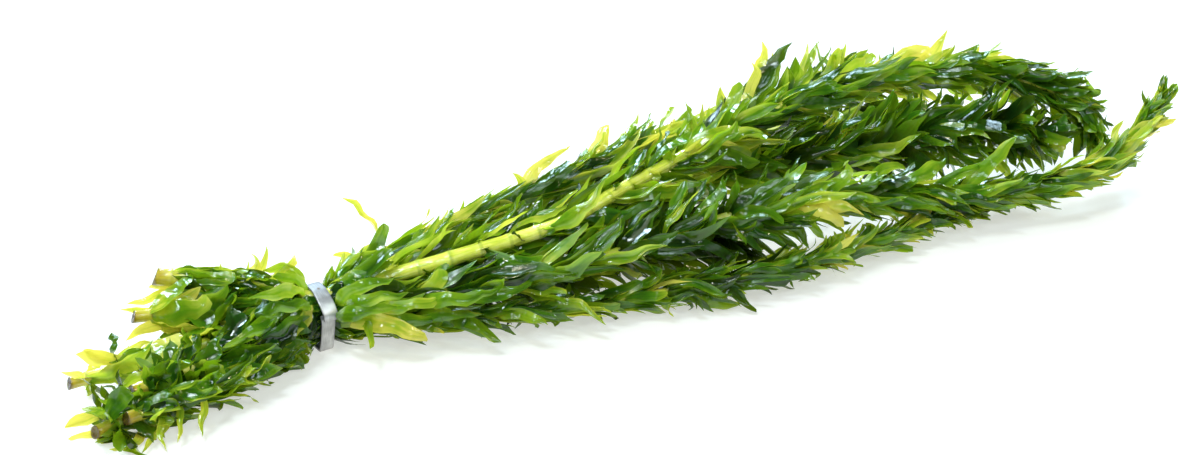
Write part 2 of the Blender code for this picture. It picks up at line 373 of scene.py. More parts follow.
# A shoot's habit: leaves in a whorl, their length low and at the tip in mm, width in mm, opening and its
# spread in degrees, how far the tips curve back in degrees, how far in mm they stand off the stem, tint
Habit = namedtuple("Habit", "number low_length tip_length width opening spread recurve stand tint")
HABITS = {
    "main": Habit(10, 17, 13, 4.4, 36, 15, 24, 11, 0.47),
    "right": Habit(10, 17, 14, 4.2, 28, 12, 24, 8, 0.38),
    "front": Habit(11, 15, 12, 3.9, 34, 13, 62, 7.5, 0.43),
    "back": Habit(10, 17, 14, 4.4, 36, 16, 30, 12, 0.46),
    "hook": Habit(13, 15, 13, 3.9, 34, 15, 44, 12, 0.16),
    "upper": Habit(12, 19, 15, 4.5, 42, 16, 24, 15, 0.32),
    "low": Habit(12, 16, 13, 4.1, 36, 15, 18, 11, 0.26),
}
# Each whorl is turned by this share of a full turn from the one before it
WHORL_TURN = 0.29
# A leaf starts inside the stem's skin, at this share of its radius
ROOT_DEPTH = 0.8
# How far chance moves a leaf: its turn round the stem in radians, its root, and its length and width as
# shares, with the least and the most that these may be
TURN_VARIES = 0.2
ROOT_VARIES = 0.4 * MM
LENGTH_VARIES = 0.12
LENGTH_LIMITS = (0.65, 1.25)
WIDTH_VARIES = 0.16
WIDTH_LIMITS = (0.5, 1.3)
# Shares of the width of the shoot's habit: low on the shoot, and how much less at the bud
LOW_WIDTH = 1.08
NARROWING = 0.44
# The last share of the shoot, and how much shorter its leaves get
BUD_SHARE = 0.1
BUD_SHORTENING = 0.6
MISSING_SHARE = 0.03
MOST_BLUNT = 0.5
# Angles in degrees: how much wider a leaf starts than it goes on, and how far one near the cut spreads.
# Then how many times the habit's angle a tip may curve back
START_WIDER = (12, 38)
CUT_SPREADS = (40, 110)
RECURVE_VARIES = (-0.4, 1.7)
# A leaf has settled to its own angle by a few times this share of its length
SETTLES_OVER = 0.2
# Twist in radians, and gutter and ripple as shares of half the width
TWIST_VARIES = 0.35
GUTTERS = (-0.1, 0.8)
RIPPLES = (0.02, 0.2)
PLACED_GUTTERS = (0.1, 0.5)
PLACED_RIPPLES = (0.05, 0.2)
# Slow bends that neighbours share, and the crumpling of single leaves: over what length, and how far
DRIFT_OVER = 20 * MM
DRIFT = 1.3
BENDS_OVER = 9 * MM
BEND_HEIGHT = 1.5 * MM
CRUMPLES_OVER = 5 * MM
CRUMPLE_HEIGHT = 0.25 * MM
PLACED_CRUMPLES_OVER = 6 * MM
PLACED_CRUMPLE_HEIGHT = 1.0 * MM
# How the tint varies from leaf to leaf, and along the bunch
TINT_VARIES = 0.2
TINT_DRIFTS_OVER = 50 * MM
TINT_DRIFT = 0.3
# Wet leaves lie on each other up to this far over the table
STACK_HEIGHT = 0.4 * MM
# One side of the main stem's bare stretch has only torn stubs, and not many. How far round it is bare is
# given at places along X in mm: the cosine of the angle to that side above which a leaf is torn off. The
# stubs' lengths are in mm
BARE_STRETCH = (10 * MM, 92 * MM)
BARE_SIDE = unit(np.array([-0.35, -0.6, 0.7]))
BARED = ((30, 56, 70, 92), (0.05, 0.12, 0.5, 0.8))
STUB_LENGTHS = (1, 2.6)
STUB_WIDTH = 0.6
STUBS_LEFT = 0.4
# Where along X the leaves are pressed together: the share of its opening that a leaf keeps, and the
# share of its room round the stem
PRESSED_AT = np.array([-60, -30, 0, 15, 50, 100, 150, 220]) * MM
OPENING_KEPT = (0.8, 0.7, 0.7, 0.65, 0.5, 0.75, 1, 1)
ROOM_KEPT = (0.8, 0.7, 0.65, 0.65, 0.52, 0.7, 1, 0.85)
# Where single shoots hold their leaves closer than that, or less close: places along X in mm, and how
# many times as far out
HELD = {
    "main": ((0, 4, 102, 110, 150, 158, 176, 192), (0.4, 1, 1, 0.5, 0.5, 0.52, 0.5, 0.55)),
    "back": ((4, 14, 60, 84, 104, 110, 154, 162), (0.75, 0.4, 0.42, 0.6, 0.7, 0.42, 0.42, 1)),
    "right": ((30, 40, 104, 118, 140, 180, 200), (1, 1.5, 1.5, 0.8, 0.52, 0.55, 0.4)),
    "front": ((0, 20, 30, 50, 64, 76, 90, 130, 160), (0.55, 0.65, 0.5, 0.5, 0.75, 0.9, 0.6, 0.4, 0.35)),
    "hook": ((30, 42, 80, 90), (1, 1.7, 1.7, 1)),
    "upper": ((-60, -30, -16), (0.45, 0.65, 1)),
}
# Stretches along X in mm where a shoot has lost leaves, so that single ones stand out over it: the share
# that is gone of those that point upwards at least this much, as the sine of their slope
LOST = {"back": (104, 154, 0.7, 0.1), "upper": (-70, -32, 0.85, -0.7), "right": (-60, -36, 0.6, 0.1)}
# Behind the tie the leaves are shorter, wider, more crumpled and less in line
TAIL_LENGTH = 0.85
TAIL_WIDTH = 1.25
TAIL_CRUMPLE = 4.5
LEAN = 0.62
TAIL_LEAN = 1.0
# A share of the leaves goes its own way: it leans and twists this many times as much
WILD_SHARE = 0.27
WILDNESS = 2.2
# Towards the cut ends the leaves are spread wide, from this far behind the tie and but for this share
SPREAD_FROM = 34 * MM
STAYED_CLOSED = 0.35
# How the tint changes along X in mm: most cut ends are yellower, and the main shoot's drooping end is
# darker as painted shade
TINTED = {
    "main": ((-60, -25, 0, 60, 100, 152, 184), (0.06, -0.05, -0.06, -0.06, 0.02, 0, -0.2)),
    "right": ((-60, -25, 0, 60, 140, 200), (0.14, 0.1, 0, -0.08, 0.08, 0.08)),
    "upper": ((-60, -25, 0), (-0.05, 0.05, 0)),
    "others": ((-60, -25, 0), (0.14, 0.1, 0)),
}
# Inside of the tie in the YZ plane: its middle and half sizes, and how fast the bunch widens beside it
TIE_MIDDLE = np.array([1.4, 7.3]) * MM
TIE_HALF = np.array([4.6, 6.3]) * MM
TIE_HALF_WIDTH = 2.2 * MM
WIDENING = 0.25 / MM
# A share of the leaves stands free, with this many times the room of the others
FREE_SHARE = 0.25
FREE_ROOM = 1.5
# Twelve random ways and starts of sines, from which slow changes with the place are made
WAVE_WAYS = unit(chance.normal(0, 1, (12, 3)))
WAVE_STARTS = chance.uniform(0, 2 * np.pi, 12)


def wander(points, wavelength):
    """A vector that changes slowly with the place: each of its three parts is the mean of four sines
    of the place, along random ways."""
    waves = np.sin(points @ WAVE_WAYS.T * (2 * np.pi / wavelength) + WAVE_STARTS)
    return waves.reshape(*points.shape[:-1], 3, 4).mean(-1)


# A leaf's width at its root, and how far up it is full, as shares
ROOT_WIDTH = 0.45
WIDENS_OVER = 0.33


def leaf_width(u, blunt):
    """Share of its full width that a leaf has along its length: narrow at the root, full from a third on,
    and drawn to a point over the last part. A blunt leaf keeps more width up to its rounded end."""
    rise = np.clip(u / WIDENS_OVER, 0, 1)
    narrowed = (1.03 - (u * (1 - blunt[:, None])) ** 3.2) ** 0.9
    widened = ROOT_WIDTH + (1 - ROOT_WIDTH) * rise * rise * (3 - 2 * rise)
    return widened * narrowed * np.sqrt(1.02 - u**14)


def lay_blades(midrib, flat, width, twist, gutter, ripple, phase, blunt):
    """Leaf blades as grids of two parameters, u from root to tip and v across.

    Across, a blade is a shallow fold, v to the power 1.4 times the gutter, with a sine wave added that
    grows towards its margins. It turns about its midrib by twist."""
    u = np.linspace(0, 1, LEAF_ROWS)
    v = np.linspace(-1, 1, LEAF_COLUMNS)
    ahead = unit(np.gradient(midrib, axis=1))
    flat = unit(flat - ahead * (ahead * flat).sum(-1, keepdims=True))
    normal = np.cross(flat, ahead)
    turn = (twist[:, None] * (0.1 + 0.9 * u))[..., None]
    sideways = flat * np.cos(turn) + normal * np.sin(turn)
    upright = normal * np.cos(turn) - flat * np.sin(turn)
    half = (width[:, None] / 2 * leaf_width(u, blunt))[:, :, None]
    place = phase[:, None, None] * (1 + np.sign(v)) + 2.6 * u[:, None] + 0.12 * v
    wave = ripple[:, None, None] * np.sin(2 * np.pi * place) * np.abs(v)
    height = half * (gutter[:, None, None] * np.abs(v) ** 1.4 + wave)
    reach = v * half * np.sqrt(1 - np.minimum(gutter, 0.9)[:, None, None] ** 2 * v**2 * 0.8)
    sideways, upright = sideways[:, :, None], upright[:, :, None]
    return midrib[:, :, None] + sideways * reach[..., None] + upright * height[..., None]


# How hard the drawing in ends at the oval, and how far from the tie the leaves are free of it
OVAL_POWER = 6
WIDE_FROM = 13 * MM


def squeezed(points):
    """Points drawn in towards the tie, so that near it all lie inside its oval. The share of the oval's
    size that a point may have grows with its distance from the tie."""
    beyond = np.maximum(np.abs(points[..., 0]) - TIE_HALF_WIDTH, 0)
    allowed = 0.97 + WIDENING * beyond + (beyond / WIDE_FROM) ** 4
    offset = (points[..., 1:] - TIE_MIDDLE) / TIE_HALF
    across = np.linalg.norm(offset, axis=-1) / allowed
    drawn = 1 / (1 + across**OVAL_POWER) ** (1 / OVAL_POWER)
    moved = points.copy()
    moved[..., 1:] = TIE_MIDDLE + offset * drawn[..., None] * TIE_HALF
    return moved


def clinging(points, line, room):
    """Points drawn in towards their stem, so that wet leaves cling to it: a distance r from the stem
    becomes room times the hyperbolic tangent of r over room. Every third point of the stem's line is
    near enough to measure from."""
    sparse = line[::3]
    ways = unit(np.gradient(sparse, axis=0))
    nearest = np.empty(points.shape[:-1], int)
    # Leaf by leaf, because the distances of all points at once would fill the memory
    for i in range(len(points)):
        nearest[i] = ((points[i, ..., None, :] - sparse) ** 2).sum(-1).argmin(-1)
    offset = points - sparse[nearest]
    offset = offset - ways[nearest] * (offset * ways[nearest]).sum(-1, keepdims=True)
    distance = np.linalg.norm(offset, axis=-1, keepdims=True) + 1e-9
    return points + offset * (room * np.tanh(distance / room) / distance - 1)


# How low a leaf may lie, and over what height it bends rather than go lower
TABLE_GAP = 0.15 * MM
TABLE_SOFTNESS = 0.7 * MM


def above_table(points, lift):
    """Points kept over the table: what would be lower is bent to lie just above it, by the logarithm of
    one plus an exponential of the height."""
    floor = TABLE_GAP + lift
    moved = points.copy()
    moved[..., 2] = floor + TABLE_SOFTNESS * np.logaddexp(0, (points[..., 2] - floor) / TABLE_SOFTNESS)
    return moved


# Leaves that were set one by one on the picture that the camera takes, 1200 by 455 pixels, for each shoot:
# where on the stem a leaf grows in mm along X, the pixel that it passes and its tip's, how far along Y in
# mm both lie, its width in pixels, twist in radians, bluntness and tint
PLACED = {
    "main": [
        (134, (843, 78), (868, 58), 6, 8, 20, -0.3, 0.3, 0.75),
        (147, (903, 59), (928, 46), 5, 6, 22, 0.3, 0.3, 1),
        (160, (938, 48), (948, 29), 4, 5, 20, -0.5, 0, 0.85),
        (168, (974, 54), (980, 43), 3, 4, 10, 0.4, 0, 0.9),
        (168, (978, 57), (1003, 52), 2, 2, 9, 0.2, 0.1, 0.8),
        (178, (1023, 62), (1040, 68), 0, -2, 12, 0.5, 0, 0.7),
        (188, (1072, 80), (1082, 68), -10, -10, 10, 0.3, 0, 0.65),
        (94, (690, 120), (684, 100), 4, 6, 16, 0.5, 0, 0.55),
        (100, (708, 118), (707, 104), 5, 6, 12, -0.4, 0, 0.6),
        (104, (723, 108), (719, 89), 6, 7, 16, 0.3, 0.1, 0.8),
        (-14, (283, 269), (295, 255), 9, 10, 12, 0.6, 0.7, 0.75),
        (-17, (262, 266), (267, 243), 12, 13, 8, 0.5, 0, 0.9),
        (-18, (258, 262), (248, 250), 12, 12, 9, 0.6, 0, 0.85),
        (-22, (222, 275), (221, 264), 14, 14, 10, 0.5, 0, 0.8),
        (-20, (247, 273), (247, 262), 12, 12, 9, -0.6, 0, 0.6),
        (-15, (215, 277), (186, 273), 15, 17, 10, 0.2, 0.1, 0.02),
        (-21, (163, 286), (147, 287), 20, 22, 12, 0.3, 0.1, 1),
        (-18, (150, 298), (127, 306), 20, 22, 13, 0.5, 0.1, 0.9),
        (70, (668, 191), (712, 177), -15, -16, 14, 0.3, 0.1, 0.65),
        (60, (630, 212), (657, 200), -17, -18, 15, 0.4, 0.1, 0.3),
        (50, (586, 205), (604, 176), -18, -17, 16, 0.4, 0, 0.6),
        (36, (514, 262), (544, 255), -17, -18, 14, 0.4, 0.1, 0.5),
        (97, (732, 157), (760, 163), -11, -12, 20, 0.5, 0.1, 0.35),
        (196, (1105, 121), (1108, 111), -24, -24, 5, 0.2, 0, 0.1),
        (186, (1090, 86), (1082, 72), -16, -15, 12, 0.4, 0, 0.45),
        (4, (345, 268), (362, 250), 6, 8, 14, 0.4, 0.1, 0.6),
        (2, (348, 282), (392, 262), -2, -4, 16, 0.4, 0.1, 0.5),
        (-3, (296, 276), (262, 268), 7, 11, 14, 0.4, 0.1, 0.5),
        (-4, (292, 292), (250, 298), -3, -2, 15, 0.5, 0.1, 0.4),
        (146, (900, 84), (928, 100), 4, 2, 13, 0.4, 0.1, 0.8),
        (152, (925, 90), (950, 108), 3, 1, 10, 0.5, 0, 0.75),
        (156, (944, 82), (976, 102), 3, 0, 15, -0.4, 0.1, 0.5),
        (160, (958, 84), (998, 98), 2, 0, 15, 0.4, 0.1, 0.35),
        (166, (980, 80), (1014, 104), 0, -4, 15, 0.4, 0.1, 0.3),
        (188, (1078, 116), (1073, 160), -20, -27, 22, 0.4, 0.1, 0.05),
        (144, (896, 92), (922, 110), 3, 1, 12, 0.4, 0.1, 0.7),
        (176, (1020, 92), (1040, 114), -6, -10, 16, 0.4, 0.1, 0.15),
        (172, (1005, 88), (1020, 112), -3, -7, 15, -0.4, 0.1, 0.25),
        (190, (1083, 112), (1080, 152), -21, -26, 20, 0.4, 0.1, 0.08),
        (187, (1070, 106), (1066, 146), -19, -24, 20, -0.4, 0.1, 0.15),
        (192, (1092, 118), (1088, 158), -23, -28, 18, 0.4, 0, 0.05),
        (184, (1058, 108), (1052, 142), -17, -22, 18, 0.4, 0.1, 0.1),
    ],
    "right": [
        (152, (999, 154), (1018, 136), -33, -32, 17, 0.4, 0, 0.6),
        (201, (1147, 105), (1144, 90), -32, -32, 10, 0.4, 0, 0.12),
        (205, (1158, 98), (1157, 84), -31, -31, 10, -0.4, 0, 0.2),
        (205, (1164, 98), (1174, 84), -31, -31, 12, 0.5, 0, 0.5),
        (202, (1160, 125), (1173, 119), -34, -35, 12, 0.4, 0.1, 0.85),
        (196, (1117, 128), (1123, 120), -34, -34, 9, 0.3, 0, 0.8),
        (3, (352, 292), (398, 277), -8, -10, 17, -0.4, 0.1, 0.45),
        (4, (356, 302), (408, 292), -10, -12, 16, 0.3, 0.1, 0.55),
        (10, (398, 306), (446, 296), -14, -17, 16, 0.4, 0.1, 0.6),
        (20, (440, 300), (500, 288), -18, -21, 17, 0.3, 0.1, 0.4),
        (28, (480, 296), (535, 280), -19, -22, 16, 0.4, 0.1, 0.35),
        (-4, (294, 305), (252, 316), -8, -10, 16, -0.4, 0.1, 0.3),
        (-9, (262, 330), (222, 352), -8, -9, 16, 0.6, 0.1, 0.45),
        (-34, (160, 372), (116, 388), -4, -5, 15, 0.5, 0.1, 0.5),
        (84, (738, 234), (764, 250), -26, -29, 13, 0.4, 0.1, 0.3),
        (90, (756, 232), (790, 248), -27, -30, 12, -0.4, 0, 0.35),
        (96, (778, 226), (806, 244), -27, -30, 12, 0.5, 0, 0.4),
        (76, (706, 244), (738, 262), -27, -29, 13, 0.5, 0.1, 0.2),
        (88, (742, 228), (776, 240), -26, -28, 14, 0.4, 0.1, 0.35),
        (96, (790, 222), (811, 247), -28, -31, 16, 0.4, 0.1, 0.3),
        (104, (800, 216), (822, 238), -29, -32, 14, 0.4, 0.1, 0.55),
        (92, (772, 234), (800, 252), -27, -30, 14, -0.4, 0.1, 0.2),
        (92, (762, 220), (800, 230), -26, -29, 14, -0.4, 0.1, 0.5),
        (108, (822, 210), (846, 226), -30, -33, 15, 0.3, 0.2, 1),
        (114, (836, 206), (862, 214), -30, -33, 14, -0.3, 0.2, 1),
        (118, (850, 208), (880, 220), -29, -32, 12, 0.4, 0, 0.4),
        (126, (870, 205), (905, 215), -29, -32, 12, 0.4, 0, 0.5),
        (136, (912, 180), (948, 158), -30, -28, 13, 0.4, 0.1, 0.5),
        (144, (955, 176), (990, 160), -32, -31, 13, 0.4, 0, 0.45),
        (128, (870, 182), (905, 168), -26, -24, 14, -0.4, 0.1, 0.5),
    ],
    "front": [
        (-42, (180, 428), (178, 443), -20, -22, 9, 0.3, 0, 0.75),
        (-36, (203, 418), (198, 439), -20, -22, 9, 0.5, 0, 0.7),
        (-40, (110, 405), (92, 396), -8, -6, 16, 0.6, 0.1, 0.45),
        (4, (404, 330), (426, 341), -16, -18, 19, 0.3, 0.2, 0.9),
        (5, (371, 336), (369, 348), -14, -16, 12, 0.4, 0.1, 0.5),
        (44, (588, 308), (604, 323), -28, -31, 11, 0.3, 0.2, 0.6),
        (26, (487, 331), (500, 340), -22, -24, 16, 0.5, 0.1, 0.3),
        (34, (536, 319), (550, 326), -26, -28, 13, 0.5, 0, 0.55),
        (3, (352, 313), (398, 305), -11, -14, 16, 0.4, 0.2, 0.4),
        (10, (385, 322), (440, 318), -12, -14, 17, -0.3, 0.1, 0.5),
        (18, (430, 314), (482, 314), -14, -18, 16, 0.4, 0.1, 0.55),
        (24, (468, 326), (492, 340), -18, -20, 15, -0.5, 0.1, 0.35),
        (-4, (300, 322), (262, 338), -6, -8, 15, 0.5, 0.2, 0.35),
        (-14, (240, 362), (200, 384), -10, -12, 16, -0.5, 0.1, 0.4),
        (-24, (206, 390), (160, 402), -13, -13, 15, 0.5, 0.2, 0.5),
        (-30, (180, 400), (142, 410), -14, -14, 15, -0.4, 0.2, 0.45),
        (74, (700, 276), (735, 256), -25, -24, 12, 0.4, 0, 0.3),
        (80, (704, 296), (741, 303), -32, -34, 14, 0.3, 0.4, 0.5),
        (112, (838, 244), (866, 216), -22, -21, 13, 0.4, 0, 0.5),
        (98, (778, 266), (808, 236), -24, -23, 14, 0.4, 0, 0.4),
        (108, (822, 250), (852, 224), -22, -21, 12, 0.4, 0, 0.5),
        (66, (650, 290), (690, 266), -26, -25, 13, 0.4, 0.1, 0.3),
        (92, (764, 262), (794, 244), -24, -23, 13, 0.4, 0.1, 0.4),
    ],
    "back": [
        (126, (758, 76), (764, 41), 31, 32, 17, 0.4, 0.12, 1),
        (128, (766, 72), (775, 51), 31, 32, 12, 0.3, 0, 0.9),
        (124, (754, 82), (752, 60), 29, 29, 10, 0.2, 0.1, 0.95),
        (131, (775, 60), (792, 41), 30, 31, 15, 0.4, 0, 0.12),
        (133, (784, 84), (785, 67), 28, 28, 14, 0.3, 0.1, 0.35),
        (137, (800, 86), (810, 62), 27, 27, 14, 0.3, 0.1, 0.4),
        (129, (768, 80), (778, 60), 29, 30, 18, 0.3, 0.1, 0.25),
        (136, (790, 80), (796, 60), 29, 29, 15, 0.3, 0.1, 0.3),
        (141, (811, 57), (820, 40), 32, 33, 11, 0.3, 0, 0.6),
        (139, (806, 56), (808, 42), 32, 33, 7, 0.3, 0, 0.85),
        (140, (800, 76), (799, 60), 30, 30, 13, -0.4, 0, 0.45),
        (134, (792, 82), (786, 66), 28, 27, 9, 0.3, 0, 0.2),
        (143, (813, 74), (822, 63), 29, 28, 9, 0.9, 0, 0.5),
        (146, (825, 58), (831, 43), 34, 35, 5, 0.2, 0, 0.4),
        (152, (840, 66), (857, 52), 35, 37, 17, 0.2, 0.1, 0.12),
        (148, (840, 60), (852, 52), 37, 38, 10, 0.2, 0, 0.8),
        (160, (880, 66), (881, 56), 28, 28, 10, 0.2, 0, 0.7),
        (163, (891, 58), (892, 44), 31, 32, 6, 0.2, 0, 0),
        (52, (519, 178), (511, 172), 19, 20, 9, 0.5, 0.1, 0.8),
        (60, (546, 161), (570, 145), 20, 22, 14, 0.4, 0, 1),
        (78, (599, 144), (608, 124), 24, 26, 13, 0.2, 0.45, 1),
        (82, (620, 146), (626, 129), 24, 25, 13, 0.8, 0, 0.9),
        (86, (634, 147), (641, 128), 24, 25, 14, 0.6, 0, 0.2),
        (94, (652, 136), (649, 120), 25, 26, 10, -0.4, 0, 0.7),
        (98, (664, 130), (667, 120), 26, 27, 5, 0.2, 0, 0.05),
        (102, (675, 134), (675, 118), 26, 27, 13, 0.3, 0, 0.95),
        (116, (733, 100), (735, 86), 28, 29, 13, 0.2, 0, 0.95),
        (120, (752, 104), (744, 93), 26, 26, 14, 0.4, 0, 0.2),
        (-22, (140, 331), (126, 339), 14, 15, 14, 0.5, 0.1, 1),
        (-20, (138, 312), (122, 308), 17, 18, 12, 0.4, 0.1, 0.85),
        (20, (366, 219), (340, 197), 20, 22, 15, 3.3, 0, 0.85),
        (14, (346, 257), (330, 255), 12, 13, 10, 0.5, 0.1, 0.95),
        (26, (438, 223), (449, 208), 16, 17, 14, 0.5, 0, 0.9),
        (38, (459, 214), (461, 201), 17, 17, 6, 0.3, 0, 0.6),
        (6, (352, 262), (383, 243), 12, 14, 13, 0.4, 0.1, 0.75),
        (5, (340, 270), (346, 256), 9, 11, 12, 0.3, 0.2, 0.8),
        (-3, (300, 284), (272, 276), 3, 7, 14, 0.4, 0.2, 0.45),
    ],
    "hook": [
        (-42, (92, 417), (66, 426), -5, -6, 16, 0.3, 0.2, 0.95),
        (-55, (80, 438), (68, 438), -9, -9, 13, 0.3, 0.2, 0.9),
        (-38, (155, 438), (142, 455), -18, -21, 12, 0.4, 0, 0.75),
        (-38, (161, 440), (163, 456), -20, -22, 9, 0.4, 0, 0.7),
        (-45, (135, 444), (113, 450), -16, -18, 12, 0.3, 0.1, 0.8),
        (-44, (110, 436), (96, 446), -12, -12, 16, 0.5, 0.1, 0.35),
        (-4, (302, 340), (268, 362), -6, -8, 14, 0.4, 0.1, 0.5),
        (-18, (232, 378), (186, 398), -10, -11, 15, 0.4, 0.1, 0.55),
        (-34, (160, 420), (118, 428), -13, -12, 15, 0.5, 0.2, 0.5),
        (-40, (140, 420), (98, 434), -12, -12, 14, 0.6, 0.2, 0.55),
        (86, (700, 250), (732, 272), -20, -22, 12, 0.5, 0, 0.1),
        (74, (668, 256), (704, 268), -17, -19, 12, 0.6, 0, 0.15),
        (66, (650, 262), (690, 276), -16, -20, 12, -0.6, 0, 0.1),
        (78, (680, 262), (712, 274), -19, -21, 14, 0.4, 0.1, 0.2),
        (70, (655, 268), (704, 277), -20, -22, 15, 0.4, 0.1, 0.15),
    ],
    "upper": [
        (-40, (112, 360), (74, 354), 6, 7, 13, 0.3, 0.4, 1),
        (-42, (98, 354), (80, 349), 7, 7, 9, 0.3, 0.1, 0.95),
        (-54, (80, 378), (61, 369), 7, 8, 11, 0.8, 0, 0.85),
        (-32, (150, 352), (108, 362), 5, 6, 14, -0.5, 0.1, 0.4),
        (150, (915, 152), (950, 160), -14, -18, 14, 0.5, 0.1, 0.3),
        (160, (940, 152), (985, 158), -18, -21, 13, 0.5, 0.1, 0.25),
        (166, (975, 150), (1010, 148), -18, -20, 13, -0.4, 0.1, 0.3),
    ],
}


def seen_at(pixels, depths):
    """The places with these Y that the camera sees at these pixels, and how many metres a pixel spans
    there: from the camera, along the way through the pixel, as far as its Y allows."""
    across, down = ((pixels - PICTURE / 2) / FOCAL_PIXELS).T
    ways = view_ahead + view_right * across[:, None] - view_up * down[:, None]
    reach = ((depths - view_from[1]) / ways[:, 1])[:, None]
    return view_from + ways * reach, reach[:, 0] / FOCAL_PIXELS


def placed_leaves(name):
    """One shoot's leaves that were set one by one, and their tints. Each midrib is the parabola from the
    stem through the passed point to the tip, with that point as far along it as the straight ways tell."""
    station, passed_at, tip_at, passed_y, tip_y, width, twist, blunt, tints = (
        np.array(column, float) for column in zip(*PLACED[name])
    )
    line = lines_of[name]
    passed, pixel = seen_at(passed_at, passed_y * MM)
    tip, _ = seen_at(tip_at, tip_y * MM)
    root = line[np.abs(line[:, 0] - station[:, None] * MM).argmin(1)]
    before = np.linalg.norm(passed - root, axis=1, keepdims=True)
    share = before / (before + np.linalg.norm(tip - passed, axis=1, keepdims=True))
    bend = ((passed - root) / share - (tip - root)) / (share - 1)
    u = np.linspace(0, 1, LEAF_ROWS)[:, None]
    midrib = root[:, None] + (tip - root - bend)[:, None] * u + bend[:, None] * u**2
    count = len(station)
    leaves = lay_blades(
        midrib, np.cross(np.gradient(midrib, axis=1), view_ahead), width * pixel,
        twist=twist, gutter=chance.uniform(*PLACED_GUTTERS, count),
        ripple=chance.uniform(*PLACED_RIPPLES, count), phase=chance.uniform(0, 1, count), blunt=blunt,
    )
    crumple = PLACED_CRUMPLE_HEIGHT * u[:, 0] ** 0.5
    leaves = leaves + wander(leaves, PLACED_CRUMPLES_OVER) * crumple[:, None, None]
    return above_table(leaves, 0), tints


# Where the leaves of a shoot's whorls grow: on the stem, on its skin, how far up the shoot as a share, and
# the directions along the stem and out from it
Roots = namedtuple("Roots", "stem place share along out")


def whorl_roots(name):
    """The roots of one shoot's leaves. Those of a whorl are spread evenly round the stem."""
    number, line, stations = HABITS[name].number, lines_of[name], whorls_of[name]
    count = number * len(stations)
    at = np.repeat(np.round(stations / LINE_STEP).astype(int).clip(0, len(line) - 1), number)
    along, side, up = (way[at] for way in frames_of(line))
    share = at / len(line)
    whorl = np.repeat(np.arange(len(stations)), number)
    turn = 2 * np.pi * (np.arange(count) / number + whorl * WHORL_TURN)
    turn = turn + chance.normal(0, TURN_VARIES, count)
    out = np.cos(turn)[:, None] * side + np.sin(turn)[:, None] * up
    radius = STEM_RADIUS + (TIP_RADIUS - STEM_RADIUS) * share
    slip = along * chance.normal(0, ROOT_VARIES, count)[:, None]
    return Roots(line[at], line[at] + out * radius[:, None] * ROOT_DEPTH + slip, share, along, out)


def leaf_sizes(name, roots):
    """Length, width and bluntness of one shoot's leaves, and whether each is still there.

    From the lowest whorl to the bud they grow shorter and narrower, with chance, and those round the
    bud itself are short."""
    habit, share, count = HABITS[name], roots.share, len(roots.share)
    length = (habit.low_length + (habit.tip_length - habit.low_length) * share**1.5) * MM
    length *= chance.normal(1, LENGTH_VARIES, count).clip(*LENGTH_LIMITS)
    wide = habit.width * MM * (LOW_WIDTH - NARROWING * share)
    wide = wide * chance.normal(1, WIDTH_VARIES, count).clip(*WIDTH_LIMITS)
    in_tail = roots.place[:, 0] < 0
    wide = wide * np.where(in_tail, TAIL_WIDTH, 1)
    at_bud = np.clip((share - (1 - BUD_SHARE)) / BUD_SHARE, 0, 1)
    length *= np.where(in_tail, TAIL_LENGTH, 1) * (1 - BUD_SHORTENING * at_bud)
    kept = chance.uniform(0, 1, count) > MISSING_SHARE
    blunt = chance.uniform(0, 1, count) ** 6 * MOST_BLUNT
    if name == "main":
        x = roots.stem[:, 0]
        in_stretch = (x > BARE_STRETCH[0]) & (x < BARE_STRETCH[1])
        torn = in_stretch & (roots.out @ BARE_SIDE > np.interp(x / MM, *BARED))
        length = np.where(torn, chance.uniform(*STUB_LENGTHS, count) * MM, length)
        wide = np.where(torn, wide * STUB_WIDTH, wide)
        blunt = np.where(torn, MOST_BLUNT, blunt)
        kept &= ~torn | (chance.uniform(0, 1, count) < STUBS_LEFT)
    if name in LOST:
        begin, finish, share_lost, slope = LOST[name]
        x = roots.place[:, 0]
        bared = (x > begin * MM) & (x < finish * MM) & (roots.out[:, 2] > slope)
        kept &= ~(bared & (chance.uniform(0, 1, count) < share_lost))
    return length, wide, blunt, kept


def leaf_midribs(name, roots, length, press):
    """The midribs of one shoot's leaves, and how much more than usual each leaf leans and twists.

    A midrib starts at a wide angle from the stem, closes to its own small angle within a fifth of its
    length, and turns back towards the tip. It leans sideways, and drifts with its neighbours."""
    habit, count, x = HABITS[name], len(length), roots.place[:, 0]
    end = np.radians(chance.normal(habit.opening, habit.spread, count)).clip(0.03, 1.1) * press
    start = end + np.radians(chance.uniform(*START_WIDER, count)) * press
    bend = np.radians(habit.recurve * chance.uniform(*RECURVE_VARIES, count))
    spread = np.clip(-x / SPREAD_FROM - 1, 0, 1) ** 0.5 * (chance.uniform(0, 1, count) > STAYED_CLOSED)
    end = end + spread * np.radians(chance.uniform(*CUT_SPREADS, count))
    start = start + spread * np.radians(CUT_SPREADS[0])
    u = np.linspace(0, 1, LEAF_ROWS)
    settled = 1 - np.exp(-u / SETTLES_OVER)
    angle = start[:, None] * (1 - settled) + end[:, None] * settled + bend[:, None] * u**2.5
    wild = np.where(chance.uniform(0, 1, count) < WILD_SHARE, WILDNESS, 1)
    lean = (chance.normal(0, 1, count) * wild * np.where(x < 0, TAIL_LEAN, LEAN))[:, None] * u
    ahead = (
        np.cos(angle)[..., None] * roots.along[:, None]
        + np.sin(angle)[..., None] * roots.out[:, None]
        + lean[..., None] * np.cross(roots.along, roots.out)[:, None]
        + wander(roots.place, DRIFT_OVER)[:, None] * (DRIFT * press[:, None] * u)[..., None]
    )
    steps = unit(ahead) * (length / (LEAF_ROWS - 1))[:, None, None]
    walked = np.cumsum((steps[:, 1:] + steps[:, :-1]) / 2, axis=1)
    return roots.place[:, None] + np.concatenate([np.zeros((count, 1, 3)), walked], axis=1), wild


